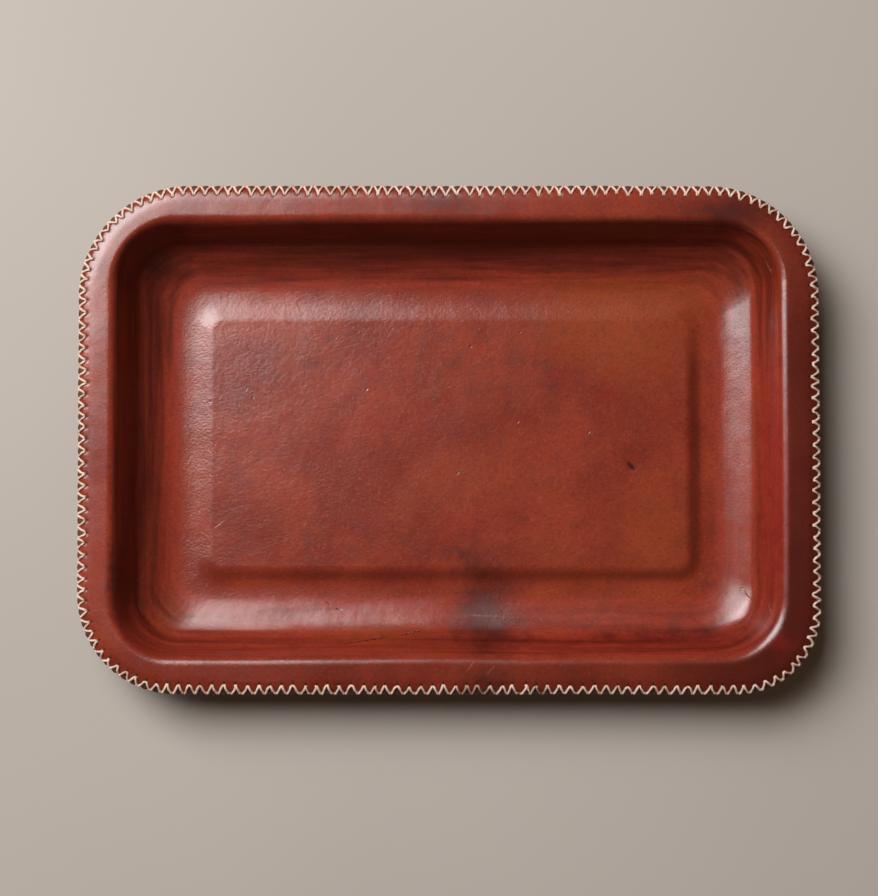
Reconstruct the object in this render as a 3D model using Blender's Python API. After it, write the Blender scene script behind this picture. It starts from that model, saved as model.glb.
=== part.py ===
"""Wet-moulded leather tray.

A face leather is moulded into a rim, a wall and a raised centre panel. A stiff board under
the panel gives it its shape, a backing leather closes the board in from below, and a waxed
thread is sewn in a zigzag over the edge that the two leathers share.

Sizes are in metres. Z = 0 is the underside of the tray, X runs along it and Y across it,
with the front edge at -Y. An inset is measured in from the cut edge, and a depth is
measured down from the upper surface of the face leather.
"""

import math

import bmesh
import bpy
from mathutils import Vector

# Cut outline of both leathers, seen from above
OUTLINE_LENGTH = 0.397
OUTLINE_WIDTH = 0.272
OUTLINE_RADIUS_FRONT_RIGHT = 0.045
OUTLINE_RADIUS_BACK_RIGHT = 0.058
OUTLINE_RADIUS_BACK_LEFT = 0.059
OUTLINE_RADIUS_FRONT_LEFT = 0.053

# Corners of the mouth, where the rim turns down into the wall
MOUTH_RADIUS_FRONT_RIGHT = 0.032
MOUTH_RADIUS_BACK_RIGHT = 0.030
MOUTH_RADIUS_BACK_LEFT = 0.029
MOUTH_RADIUS_FRONT_LEFT = 0.027

# Thickness of the three layers, and the clearance between touching pieces
FACE_THICKNESS = 0.0022
BACKING_THICKNESS = 0.0016
BOARD_THICKNESS = 0.0020
FIT_GAP = 0.0003

# Cross-section from the rim to the floor
RIM_HEIGHT = 0.035
RIM_WIDTH = 0.0152
RIM_DROOP = 0.0022
LIP_MOULD_RADIUS = 0.002
WALL_LEAN = math.radians(67)
HEEL_RADIUS = 0.012
SWEEP_LEAN = math.radians(25)
SWEEP_RADIUS = 0.050
FLOOR_RADIUS = 0.016
FLOOR_OFFSET = 0.0013

# Floor ring and raised panel
RING_WIDTH = 0.0023
STEP_WIDTH = 0.0120
STEP_SKEW = 1.4
PANEL_FOOT_RADIUS = 0.012
PANEL_TOP_RADIUS = 0.006
BOARD_EDGE_SHARE = 0.55

# Edge sewing
THREAD_DIAMETER = 0.0011
STITCH_PITCH = 0.00617
STITCH_INSET = 0.0040
SEAM_JOIN_OFFSET = 0.022
UNDER_SPREAD_SHARE = 0.25
OUTER_MITRE_SHARE = 1.3
THREAD_LENGTHS = (
    "thread_front_right",
    "thread_right_back",
    "thread_back_left",
    "thread_left_front",
)

# How finely the curves are drawn
CORNER_STEPS = 7
RIM_STEPS = 3
LIP_STEPS = 4
HEEL_STEPS = 4
SWEEP_STEPS = 4
PANEL_STEPS = 5
THREAD_SIDES = 4
SMOOTH_ANGLE = math.radians(40)

# Colours are linear red, green and blue, then roughness
FACE_FINISH = ((0.235, 0.040, 0.024), 0.42)
BACKING_FINISH = ((0.190, 0.052, 0.028), 0.60)
BOARD_FINISH = ((0.250, 0.175, 0.110), 0.85)
THREAD_FINISH = ((0.840, 0.720, 0.610), 0.62)

FULL_TURN = 2 * math.pi
QUARTER_TURN = FULL_TURN / 4
SEAM_BAND = STITCH_INSET + THREAD_DIAMETER
BACKING_UPPER = FACE_THICKNESS + FIT_GAP
STACK_DEPTH = BACKING_UPPER + BACKING_THICKNESS
RING_HEIGHT = STACK_DEPTH
PANEL_RISE = BOARD_THICKNESS + FIT_GAP
RIM_BEND = 2 * math.atan(RIM_DROOP / RIM_WIDTH)
RIM_ARC_RADIUS = RIM_WIDTH / math.sin(RIM_BEND)
LIP_RADIUS = LIP_MOULD_RADIUS + STACK_DEPTH
LIP_INSET = RIM_WIDTH + LIP_RADIUS * math.sin(WALL_LEAN)
LIP_HEIGHT = RIM_HEIGHT - LIP_RADIUS * (1 - math.cos(WALL_LEAN))


def wall_sizes():
    """Radii of the heel and the sweep, and the insets where each of them ends.

    Both keep their own radius, or shrink alike to what the wall has room for.
    """
    heel_drop = HEEL_RADIUS * (math.cos(SWEEP_LEAN) - math.cos(WALL_LEAN))
    sweep_drop = SWEEP_RADIUS * (1 - math.cos(SWEEP_LEAN))
    drop = LIP_HEIGHT - RING_HEIGHT
    fit_share = min(1.0, drop / (heel_drop + sweep_drop))
    straight_drop = drop - fit_share * (heel_drop + sweep_drop)
    heel_radius = HEEL_RADIUS * fit_share
    sweep_radius = SWEEP_RADIUS * fit_share
    heel_end = LIP_INSET + straight_drop / math.tan(WALL_LEAN)
    heel_end += heel_radius * (math.sin(WALL_LEAN) - math.sin(SWEEP_LEAN))
    return heel_radius, heel_end, sweep_radius, heel_end + sweep_radius * math.sin(SWEEP_LEAN)


HEEL_FIT_RADIUS, HEEL_INSET, SWEEP_FIT_RADIUS, RING_INSET = wall_sizes()
HEEL_HEIGHT = RING_HEIGHT + SWEEP_FIT_RADIUS * (1 - math.cos(SWEEP_LEAN))
PANEL_FOOT_INSET = RING_INSET + RING_WIDTH
PANEL_TOP_INSET = PANEL_FOOT_INSET + STEP_WIDTH


def rim_station(lean):
    """Inset, height and lean of the rim's upper surface, an arc that droops to the edge."""
    inset = RIM_WIDTH + RIM_ARC_RADIUS * math.sin(lean)
    return inset, RIM_HEIGHT - RIM_ARC_RADIUS * (1 - math.cos(lean)), lean


def rim_station_at(inset):
    """The same station, found from its inset."""
    return rim_station(math.asin((inset - RIM_WIDTH) / RIM_ARC_RADIUS))


def rim_stations():
    return [rim_station(-RIM_BEND * (1 - step / RIM_STEPS)) for step in range(RIM_STEPS)]


def lip_stations():
    """The rounded lip, from level to the lean of the wall."""
    stations = []
    for step in range(LIP_STEPS + 1):
        lean = WALL_LEAN * step / LIP_STEPS
        inset = RIM_WIDTH + LIP_RADIUS * math.sin(lean)
        stations.append((inset, RIM_HEIGHT - LIP_RADIUS * (1 - math.cos(lean)), lean))
    return stations


def heel_stations():
    """The tight hollow at the foot of the steep wall."""
    stations = []
    for step in range(HEEL_STEPS):
        lean = WALL_LEAN + (SWEEP_LEAN - WALL_LEAN) * step / HEEL_STEPS
        inset = HEEL_INSET - HEEL_FIT_RADIUS * (math.sin(lean) - math.sin(SWEEP_LEAN))
        height = HEEL_HEIGHT + HEEL_FIT_RADIUS * (math.cos(SWEEP_LEAN) - math.cos(lean))
        stations.append((inset, height, lean))
    return stations


def sweep_stations():
    """The wide hollow from the heel to the level floor ring."""
    stations = []
    for step in range(SWEEP_STEPS + 1):
        lean = SWEEP_LEAN * (1 - step / SWEEP_STEPS)
        inset = RING_INSET - SWEEP_FIT_RADIUS * math.sin(lean)
        stations.append((inset, RING_HEIGHT + SWEEP_FIT_RADIUS * (1 - math.cos(lean)), lean))
    return stations


def bowl_stations():
    """The section that both leathers follow, from the cut edge to the floor ring."""
    return rim_stations() + lip_stations() + heel_stations() + sweep_stations()


def step_stations(first_share):
    """The soft step up to the panel, from this share of its width to its top.

    It climbs slowly out of the floor ring and turns over sharply on the board's edge. The
    leather is drawn over that edge, so its thickness is kept upright here.
    """
    stations = []
    for step in range(PANEL_STEPS + 1):
        share = first_share + (1 - first_share) * step / PANEL_STEPS
        climb = share ** STEP_SKEW
        rise = PANEL_RISE * climb * climb * (3 - 2 * climb)
        stations.append((PANEL_FOOT_INSET + STEP_WIDTH * share, RING_HEIGHT + rise, 0.0))
    return stations


def layer_point(station, depth, outward=0.0):
    """Inset and height at this depth under a station, moved outward along the leather."""
    inset, height, lean = station
    inset -= depth * math.sin(lean) + outward * math.cos(lean)
    height -= depth * math.cos(lean) - outward * math.sin(lean)
    return inset, height


def corner_radii(inset):
    """Plan radii at this inset: front right, back right, back left, front left."""
    outline = (
        OUTLINE_RADIUS_FRONT_RIGHT,
        OUTLINE_RADIUS_BACK_RIGHT,
        OUTLINE_RADIUS_BACK_LEFT,
        OUTLINE_RADIUS_FRONT_LEFT,
    )
    mouth = (
        MOUTH_RADIUS_FRONT_RIGHT,
        MOUTH_RADIUS_BACK_RIGHT,
        MOUTH_RADIUS_BACK_LEFT,
        MOUTH_RADIUS_FRONT_LEFT,
    )
    stages = [
        (0.0, outline),
        (SEAM_BAND, [radius - SEAM_BAND for radius in outline]),
        (LIP_INSET, mouth),
        (RING_INSET, [FLOOR_RADIUS] * len(outline)),
        (PANEL_FOOT_INSET, [PANEL_FOOT_RADIUS] * len(outline)),
        (PANEL_TOP_INSET, [PANEL_TOP_RADIUS] * len(outline)),
    ]
    inset = min(max(inset, 0.0), PANEL_TOP_INSET)
    for (start, start_radii), (end, end_radii) in zip(stages, stages[1:]):
        if inset <= end:
            share = (inset - start) / (end - start)
            return [a + (b - a) * share for a, b in zip(start_radii, end_radii)]
    return stages[-1][1]


def heading(angle):
    return Vector((math.cos(angle), math.sin(angle)))


def floor_shift(inset):
    """How far towards the front a ring at this inset lies: the floor sits off the middle."""
    share = (inset - LIP_INSET) / (RING_INSET - LIP_INSET)
    return FLOOR_OFFSET * min(max(share, 0.0), 1.0)


def corner_arcs(inset):
    """Centre, radius and first heading of each corner at this inset, counter-clockwise."""
    half_length = OUTLINE_LENGTH / 2 - inset
    half_width = OUTLINE_WIDTH / 2 - inset
    shift = Vector((0.0, -floor_shift(inset)))
    sides = ((1, -1), (1, 1), (-1, 1), (-1, -1))
    arcs = []
    for turn, ((side_x, side_y), radius) in enumerate(zip(sides, corner_radii(inset))):
        centre = Vector((side_x * (half_length - radius), side_y * (half_width - radius)))
        arcs.append((centre + shift, radius, QUARTER_TURN * (turn - 1)))
    return arcs


def outline_length_round():
    """Distance round the cut outline."""
    total = 2 * (OUTLINE_LENGTH + OUTLINE_WIDTH)
    for _, radius, _ in corner_arcs(0.0):
        total -= radius * (2 - QUARTER_TURN)
    return total


def outline_place(distance):
    """Point on the cut outline and its outward heading.

    The distance runs counter-clockwise from the middle of the front edge.
    """
    distance = distance % outline_length_round()
    here = Vector((0.0, -OUTLINE_WIDTH / 2))
    for centre, radius, first_angle in corner_arcs(0.0):
        outward = heading(first_angle)
        corner_start = centre + radius * outward
        straight = (corner_start - here).length
        if distance <= straight:
            return here.lerp(corner_start, distance / straight), outward
        distance -= straight
        turn = radius * QUARTER_TURN
        if distance <= turn:
            outward = heading(first_angle + distance / radius)
            return centre + radius * outward, outward
        distance -= turn
        here = centre + radius * heading(first_angle + QUARTER_TURN)
    return here + Vector((distance, 0.0)), heading(-QUARTER_TURN)


def add_ring(bm, inset, height):
    """One rounded rectangle of vertices, counter-clockwise from the front right corner."""
    ring = []
    for centre, radius, first_angle in corner_arcs(inset):
        for step in range(CORNER_STEPS + 1):
            point = centre + radius * heading(first_angle + QUARTER_TURN * step / CORNER_STEPS)
            ring.append(bm.verts.new((point.x, point.y, height)))
    return ring


def add_skin(bm, rings):
    """Quads between rings of equal length, with a flat cap on the first and the last."""
    for ring, next_ring in zip(rings, rings[1:]):
        for index, vertex in enumerate(ring):
            after = (index + 1) % len(ring)
            bm.faces.new((vertex, ring[after], next_ring[after], next_ring[index]))
    bm.faces.new(list(reversed(rings[0])))
    bm.faces.new(rings[-1])
    bmesh.ops.recalc_face_normals(bm, faces=bm.faces[:])


def make_material(name, finish):
    colour, roughness = finish
    material = bpy.data.materials.new(name)
    material.use_nodes = True
    shader = material.node_tree.nodes["Principled BSDF"]
    shader.inputs["Base Color"].default_value = (*colour, 1.0)
    shader.inputs["Roughness"].default_value = roughness
    shader.inputs["Metallic"].default_value = 0.0
    return material


def make_piece(name, bm, material, parent):
    mesh = bpy.data.meshes.new(name)
    bm.to_mesh(mesh)
    bm.free()
    mesh.shade_smooth()
    mesh.set_sharp_from_angle(angle=SMOOTH_ANGLE)
    mesh.materials.append(material)
    piece = bpy.data.objects.new(name, mesh)
    piece.parent = parent
    bpy.context.collection.objects.link(piece)
    return piece


def make_layer(name, stations, upper_depth, lower_depth, material, parent):
    """A moulded sheet between two depths, from its floor out to the cut edge and back."""
    bm = bmesh.new()
    upper = [layer_point(station, upper_depth) for station in reversed(stations)]
    lower = [layer_point(station, lower_depth) for station in stations]
    rings = [add_ring(bm, inset, height) for inset, height in upper + lower]
    add_skin(bm, rings)
    return make_piece(name, bm, material, parent)


def make_face_leather(parent):
    stations = bowl_stations() + step_stations(0.0)
    material = make_material("face_leather", FACE_FINISH)
    return make_layer("face_leather", stations, 0.0, FACE_THICKNESS, material, parent)


def make_backing_leather(parent):
    material = make_material("backing_leather", BACKING_FINISH)
    depths = (BACKING_UPPER, STACK_DEPTH)
    return make_layer("backing_leather", bowl_stations(), *depths, material, parent)


def make_floor_board(parent):
    """The stiffener: an upright edge on the backing, then the curve of the step above."""
    bm = bmesh.new()
    upper = [layer_point(station, BACKING_UPPER) for station in step_stations(BOARD_EDGE_SHARE)]
    edge_inset = upper[0][0]
    rings = [add_ring(bm, edge_inset, BACKING_THICKNESS + FIT_GAP)]
    rings += [add_ring(bm, inset, height) for inset, height in upper]
    add_skin(bm, rings)
    material = make_material("floor_board", BOARD_FINISH)
    return make_piece("floor_board", bm, material, parent)


def stitch_points(distance, pitch):
    """The thread's path over one stitch, whose tip on the face lies at this distance.

    Each point is its distance round the edge, its inset, its height, and the lean of the
    direction that it faces away from the leather: 0 is up, a quarter turn is outward.
    """
    thread_lift = THREAD_DIAMETER / 2 + FIT_GAP
    foot_upper = pitch / 2 - (THREAD_DIAMETER + FIT_GAP) / 2
    foot_lower = pitch * UNDER_SPREAD_SHARE
    edge = rim_station_at(0.0)
    tip = rim_station_at(STITCH_INSET)
    corner = QUARTER_TURN / 2
    upper_foot = (*layer_point(edge, -thread_lift, thread_lift), corner)
    lower_foot = (*layer_point(edge, STACK_DEPTH + thread_lift, thread_lift), QUARTER_TURN + corner)
    upper_tip = (*layer_point(tip, -thread_lift), 0.0)
    lower_tip = (*layer_point(tip, STACK_DEPTH + thread_lift), 2 * QUARTER_TURN)
    return [
        (distance - foot_lower, *lower_foot),
        (distance - foot_upper, *upper_foot),
        (distance, *upper_tip),
        (distance + foot_upper, *upper_foot),
        (distance + foot_lower, *lower_foot),
        (distance + pitch / 2, *lower_tip),
    ]


def thread_path(first_stitch, stitch_count, pitch):
    """World points and outward directions along one length of thread."""
    path = []
    for stitch in range(first_stitch, first_stitch + stitch_count):
        for along, inset, height, lean in stitch_points(SEAM_JOIN_OFFSET + stitch * pitch, pitch):
            edge_point, outward = outline_place(along)
            plan = edge_point - outward * inset
            facing = Vector((*(outward * math.sin(lean)), math.cos(lean)))
            path.append((Vector((plan.x, plan.y, height)), facing))
    return path[:-1]


def add_thread_ring(bm, point, before, after, facing):
    """The thread's section at one point, mitred where the path turns."""
    arriving = (point - before).normalized()
    leaving = (after - point).normalized()
    tangent = (arriving + leaving).normalized()
    side = tangent.cross(facing).normalized()
    lift = side.cross(tangent)
    bend = leaving - arriving
    mitre = 1.0
    if bend.length > 0:
        mitre = 1 / math.sqrt(1 - (bend.length / 2) ** 2)
        bend.normalize()
    ring = []
    for step in range(THREAD_SIDES):
        angle = FULL_TURN * step / THREAD_SIDES
        spoke = (lift * math.cos(angle) + side * math.sin(angle)) * THREAD_DIAMETER / 2
        along_bend = spoke.dot(bend)
        stretch = mitre if along_bend > 0 else min(mitre, OUTER_MITRE_SHARE)
        ring.append(bm.verts.new(point + spoke + bend * along_bend * (stretch - 1)))
    return ring


def make_thread(name, first_stitch, stitch_count, pitch, material, parent):
    bm = bmesh.new()
    path = thread_path(first_stitch, stitch_count, pitch)
    points = [point for point, _ in path]
    befores = [2 * points[0] - points[1]] + points[:-1]
    afters = points[1:] + [2 * points[-1] - points[-2]]
    rings = [
        add_thread_ring(bm, point, before, after, facing)
        for (point, facing), before, after in zip(path, befores, afters)
    ]
    add_skin(bm, rings)
    return make_piece(name, bm, material, parent)


def make_edge_sewing(parent):
    """The thread lengths, each a like share of the stitches round the edge."""
    material = make_material("edge_thread", THREAD_FINISH)
    around = outline_length_round()
    stitch_total = round(around / STITCH_PITCH)
    pitch = around / stitch_total
    first_stitch = 0
    for index, name in enumerate(THREAD_LENGTHS):
        last_stitch = round(stitch_total * (index + 1) / len(THREAD_LENGTHS))
        make_thread(name, first_stitch, last_stitch - first_stitch, pitch, material, parent)
        first_stitch = last_stitch


def clear_scene():
    for thing in list(bpy.data.objects):
        bpy.data.objects.remove(thing, do_unlink=True)


def main():
    clear_scene()
    tray = bpy.data.objects.new("tray", None)
    bpy.context.collection.objects.link(tray)
    make_face_leather(tray)
    make_backing_leather(tray)
    make_floor_board(tray)
    make_edge_sewing(tray)


main()
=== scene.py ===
"""Looks of a wet-moulded leather tray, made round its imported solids.

Two leathers are moulded together into a nearly level rim, a steep wall that sweeps into the
floor, and a raised panel over a stiff board. A waxed thread is whip-stitched over their edge,
once each way round, so that it shows as a zigzag.

Sizes are in metres. X runs along the tray, Y across it with the front edge at -Y, and Z = 0 is
the underside. An inset is measured in from the cut edge, and a depth is measured down from the
upper surface of the face leather. Lists whose comment says mm hold places from the middle.
"""

import math

import bpy
import numpy as np
from mathutils import Matrix, Vector


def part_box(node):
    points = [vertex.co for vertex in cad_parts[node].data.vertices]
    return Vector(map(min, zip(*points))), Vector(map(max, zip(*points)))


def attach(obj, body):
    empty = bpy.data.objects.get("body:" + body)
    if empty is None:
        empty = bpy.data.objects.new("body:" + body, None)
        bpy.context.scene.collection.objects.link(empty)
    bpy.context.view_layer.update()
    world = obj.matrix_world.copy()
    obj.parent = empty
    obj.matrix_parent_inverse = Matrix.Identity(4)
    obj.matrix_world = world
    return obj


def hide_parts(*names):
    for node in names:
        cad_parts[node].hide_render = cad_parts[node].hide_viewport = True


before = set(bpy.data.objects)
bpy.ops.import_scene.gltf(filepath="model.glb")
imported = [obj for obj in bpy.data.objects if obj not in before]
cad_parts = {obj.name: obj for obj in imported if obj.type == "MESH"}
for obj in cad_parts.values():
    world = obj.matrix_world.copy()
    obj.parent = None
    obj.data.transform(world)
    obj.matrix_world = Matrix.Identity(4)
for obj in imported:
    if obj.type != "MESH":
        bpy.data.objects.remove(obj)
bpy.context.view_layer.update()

face_low, face_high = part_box("face_leather")

MM = 0.001
FULL_TURN = 2 * math.pi
QUARTER_TURN = FULL_TURN / 4

# Cut outline of both leathers: front right, back right, back left, front left corner
OUTLINE_LENGTH = face_high.x - face_low.x
OUTLINE_WIDTH = face_high.y - face_low.y
OUTLINE_RADII = (0.045, 0.058, 0.059, 0.053)
MOUTH_RADII = (0.032, 0.030, 0.029, 0.027)
FLOOR_RADIUS = 0.016
PANEL_TOP_RADIUS = 0.006
# How far the floor lies towards the front, and what the panel's back side adds to that
FLOOR_OFFSET = 0.0013
PANEL_BACK_OFFSET = -0.0003

# The two leathers
FACE_THICKNESS = 0.0022
BACKING_THICKNESS = 0.0016
FIT_GAP = 0.0003
BACKING_UPPER = FACE_THICKNESS + FIT_GAP
STACK_DEPTH = BACKING_UPPER + BACKING_THICKNESS

# Section from the rim to the panel
RIM_HEIGHT = face_high.z
RIM_WIDTH = 0.0152
RIM_TILT = 0.048
ROLL_WIDTH = 0.0085
ROLL_DROP = 0.0018
RIGHT_SIDE_SHARE = 0.12
RIGHT_LIP_SHIFT = -0.0010
EDGE_ROUND_WIDTH = 0.0028
EDGE_ROUND_DROP = 0.0009
LIP_RADIUS = 0.002 + STACK_DEPTH
WALL_LEAN = math.radians(67)
HEEL_RADIUS = 0.012
SWEEP_LEAN = math.radians(25)
SWEEP_RADIUS = 0.050
RING_HEIGHT = STACK_DEPTH
STEP_WIDTH = 0.0143
STEP_SKEW = 1.50
PANEL_RISE = 0.0018

LIP_INSET = RIM_WIDTH + LIP_RADIUS * math.sin(WALL_LEAN)
LIP_HEIGHT = RIM_HEIGHT - LIP_RADIUS * (1 - math.cos(WALL_LEAN))
HEEL_HEIGHT = RING_HEIGHT + SWEEP_RADIUS * (1 - math.cos(SWEEP_LEAN))
WALL_FOOT = HEEL_HEIGHT + HEEL_RADIUS * (math.cos(SWEEP_LEAN) - math.cos(WALL_LEAN))
WALL_FOOT_INSET = LIP_INSET + (LIP_HEIGHT - WALL_FOOT) / math.tan(WALL_LEAN)
HEEL_INSET = WALL_FOOT_INSET + HEEL_RADIUS * (math.sin(WALL_LEAN) - math.sin(SWEEP_LEAN))
RING_INSET = HEEL_INSET + SWEEP_RADIUS * math.sin(SWEEP_LEAN)
PANEL_TOP_INSET = RING_INSET + STEP_WIDTH
PANEL_HEIGHT = RING_HEIGHT + PANEL_RISE

# How far hand work strays: the edge and the lip in plan, and the rim in height, from a low start
EDGE_STRAY = 0.00030
LIP_STRAY = 0.00045
RIM_STRAY = 0.0004
RIM_STRAY_START = 0.006

# Points round one ring of the mesh: on a long side, a short side and a corner
LONG_STEPS = 182
SHORT_STEPS = 90
CORNER_STEPS = 44
# Insets of the first two rings inside the cut edge
FIRST_INSETS = (0.0005, 0.0012)

# Whip stitch, from hole to hole
STITCHES = 202
SEAM_JOIN = 0.022
SEAM_BAND = 0.0072
HOLE_WAVER = 0.00042
HOLE_INSET_WAVER = 0.00034
THREAD_RADIUS = 0.00062
# Share of a stitch at which a leg of thread has come from its hole to the cut edge
LEG_REACH = 0.38
# The cut edge gives way under a thread and swells out between two
EDGE_DENT = 0.0003
EDGE_BULGE = 0.0015
BULGE_REACH = 0.0028
BULGE_FULLNESS = 0.4
# Groove under a leg of thread
GROOVE_DEPTH = 0.00022
GROOVE_SPREAD = 0.0009
# Pit that the pull of the thread leaves just inside each hole: its length is a share of a stitch
PIT_DEPTH = 0.00035
PIT_LENGTH = 0.12
PIT_OFFSET = 0.0006
PIT_SPREAD = 0.0010
# How much of the hide's own relief is left where the seam presses it
SEAM_RELIEF_SHARE = 0.4
# Insets of the holes and length of their slits, by side in degrees, counter-clockwise from the right
HOLE_SIDES = (0, 45, 90, 135, 180, 225, 270, 315, 360)
HOLE_INSETS = (0.0033, 0.0036, 0.0035, 0.0028, 0.0033, 0.0034, 0.0038, 0.0036, 0.0033)
SLIT_LENGTHS = (0.0, 0.0, 0.0013, 0.0005, 0.0, 0.0, 0.0, 0.0, 0.0)

# Camera: a long lens high over the tray, a little towards its front
PHOTO_LENS = 85.0
CAMERA_DISTANCE = 1.132
CAMERA_TILT = math.radians(2.6)
CAMERA_AIM = Vector((-0.0053, -0.0051, RIM_HEIGHT))

# A large softbox at the back left, brighter in its middle, and a little light from all round
SOFTBOX_LEFT = math.radians(31.3)
SOFTBOX_BACK = math.radians(28.0)
SOFTBOX_DISTANCE = 2.1
SOFTBOX_SIZE = (1.75, 1.38)
SOFTBOX_POWER = 45.0
SOFTBOX_CORE_SIZE = (0.90, 1.00)
SOFTBOX_CORE_POWER = 16.0
ROOM_LEVEL = 0.085
ROOM_COLOUR = "ffd4b0"


def smooth(value, start, end):
    """0 before start, 1 after end, and a soft rise between."""
    share = np.clip((value - start) / (end - start), 0.0, 1.0)
    return share * share * (3 - 2 * share)


def hide_noise(x, y, size, seed):
    """Soft seeded hills, -1 to 1, about one size apart."""
    cells = 128
    angles = np.random.default_rng(seed).uniform(0, FULL_TURN, (cells, cells))
    x, y = np.asarray(x) / size, np.asarray(y) / size
    left, low = np.floor(x).astype(int), np.floor(y).astype(int)
    total = 0.0
    for right_step in (0, 1):
        for up_step in (0, 1):
            angle = angles[(left + right_step) % cells, (low + up_step) % cells]
            dx, dy = x - left - right_step, y - low - up_step
            fade_x, fade_y = 1 - np.abs(dx), 1 - np.abs(dy)
            fade_x = fade_x ** 3 * (10 - 15 * fade_x + 6 * fade_x ** 2)
            fade_y = fade_y ** 3 * (10 - 15 * fade_y + 6 * fade_y ** 2)
            total = total + fade_x * fade_y * (np.cos(angle) * dx + np.sin(angle) * dy)
    gain = 1.5
    return total * gain


def hand_waver(share, first, last, seed):
    """A wavering line round the tray, -1 to 1, with this range of waves in one turn."""
    rng = np.random.default_rng(seed)
    waves = np.arange(first, last + 1)
    phases = rng.uniform(0, FULL_TURN, len(waves))
    weights = rng.uniform(0.4, 1.0, len(waves)) / np.sqrt(waves)
    line = sum(w * np.cos(FULL_TURN * n * share + p) for n, p, w in zip(waves, phases, weights))
    gain = 1.6
    return line / np.sum(weights) * gain


def add_object(name, data):
    thing = bpy.data.objects.new(name, data)
    bpy.context.collection.objects.link(thing)
    return thing


# Section


def rim_seat_at(inset):
    """Height and lean of the rim's upper surface, nearly level until it rolls to its edge."""
    out = RIM_WIDTH - inset
    roll = np.clip(1 - inset / ROLL_WIDTH, 0, 1)
    height = RIM_HEIGHT - RIM_TILT / (2 * RIM_WIDTH) * out ** 2 - ROLL_DROP * roll ** 2
    return height, -np.arctan(RIM_TILT * out / RIM_WIDTH + 2 * ROLL_DROP / ROLL_WIDTH * roll)


def rim_stations(insets):
    """Inset, height and lean of the upper surface at these places on the rim."""
    return [(inset, *(float(v) for v in rim_seat_at(inset))) for inset in insets]


def lip_stations(steps):
    leans = np.linspace(0, WALL_LEAN, steps + 1)
    return [
        (RIM_WIDTH + LIP_RADIUS * math.sin(a), RIM_HEIGHT - LIP_RADIUS * (1 - math.cos(a)), a)
        for a in leans
    ]


def wall_stations(steps):
    shares = np.arange(1, steps) / steps
    run, drop = WALL_FOOT_INSET - LIP_INSET, LIP_HEIGHT - WALL_FOOT
    return [(LIP_INSET + run * s, LIP_HEIGHT - drop * s, WALL_LEAN) for s in shares]


def heel_stations(steps):
    leans = np.linspace(WALL_LEAN, SWEEP_LEAN, steps, endpoint=False)
    return [
        (
            HEEL_INSET - HEEL_RADIUS * (math.sin(a) - math.sin(SWEEP_LEAN)),
            HEEL_HEIGHT + HEEL_RADIUS * (math.cos(SWEEP_LEAN) - math.cos(a)),
            a,
        )
        for a in leans
    ]


def sweep_stations(steps):
    leans = np.linspace(SWEEP_LEAN, 0, steps + 1)
    return [
        (RING_INSET - SWEEP_RADIUS * math.sin(a), RING_HEIGHT + SWEEP_RADIUS * (1 - math.cos(a)), a)
        for a in leans
    ]


def step_stations(steps):
    """The soft step up to the panel. The leather's thickness is kept upright here."""
    stations = []
    for share in np.linspace(0, 1, steps + 1)[1:]:
        climb = share ** STEP_SKEW
        rise = PANEL_RISE * climb * climb * (3 - 2 * climb)
        stations.append((RING_INSET + STEP_WIDTH * share, RING_HEIGHT + rise, 0.0))
    return stations


def upper_stations():
    """The whole upper section, closely spaced: the sewn band first, then the rest."""
    first, second = FIRST_INSETS
    band = rim_stations(np.concatenate(([first], np.linspace(second, SEAM_BAND, num=10))))
    rest = rim_stations(np.linspace(SEAM_BAND, RIM_WIDTH, num=7)[1:-1]) + lip_stations(steps=8)
    rest += wall_stations(steps=7) + heel_stations(steps=8)
    rest += sweep_stations(steps=13) + step_stations(steps=15)
    return band, rest


def under_stations():
    """The same section with few rings, for surfaces that another piece covers."""
    covered = rim_stations((0.004, 0.010)) + lip_stations(steps=3)
    return covered + heel_stations(steps=3) + sweep_stations(steps=4)


def across_distances(stations):
    """Distance along the section to each station."""
    plan = np.array([station[:2] for station in stations])
    return np.concatenate(([0.0], np.cumsum(np.linalg.norm(np.diff(plan, axis=0), axis=1))))


# Plan


def corner_radii(inset):
    stages = (0.0, SEAM_BAND, LIP_INSET, RING_INSET, PANEL_TOP_INSET)
    inset = min(max(inset, 0.0), PANEL_TOP_INSET)
    radii = []
    for outline, mouth in zip(OUTLINE_RADII, MOUTH_RADII):
        at_stages = (outline, outline - SEAM_BAND, mouth, FLOOR_RADIUS, PANEL_TOP_RADIUS)
        radii.append(np.interp(inset, stages, at_stages))
    return radii


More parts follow.
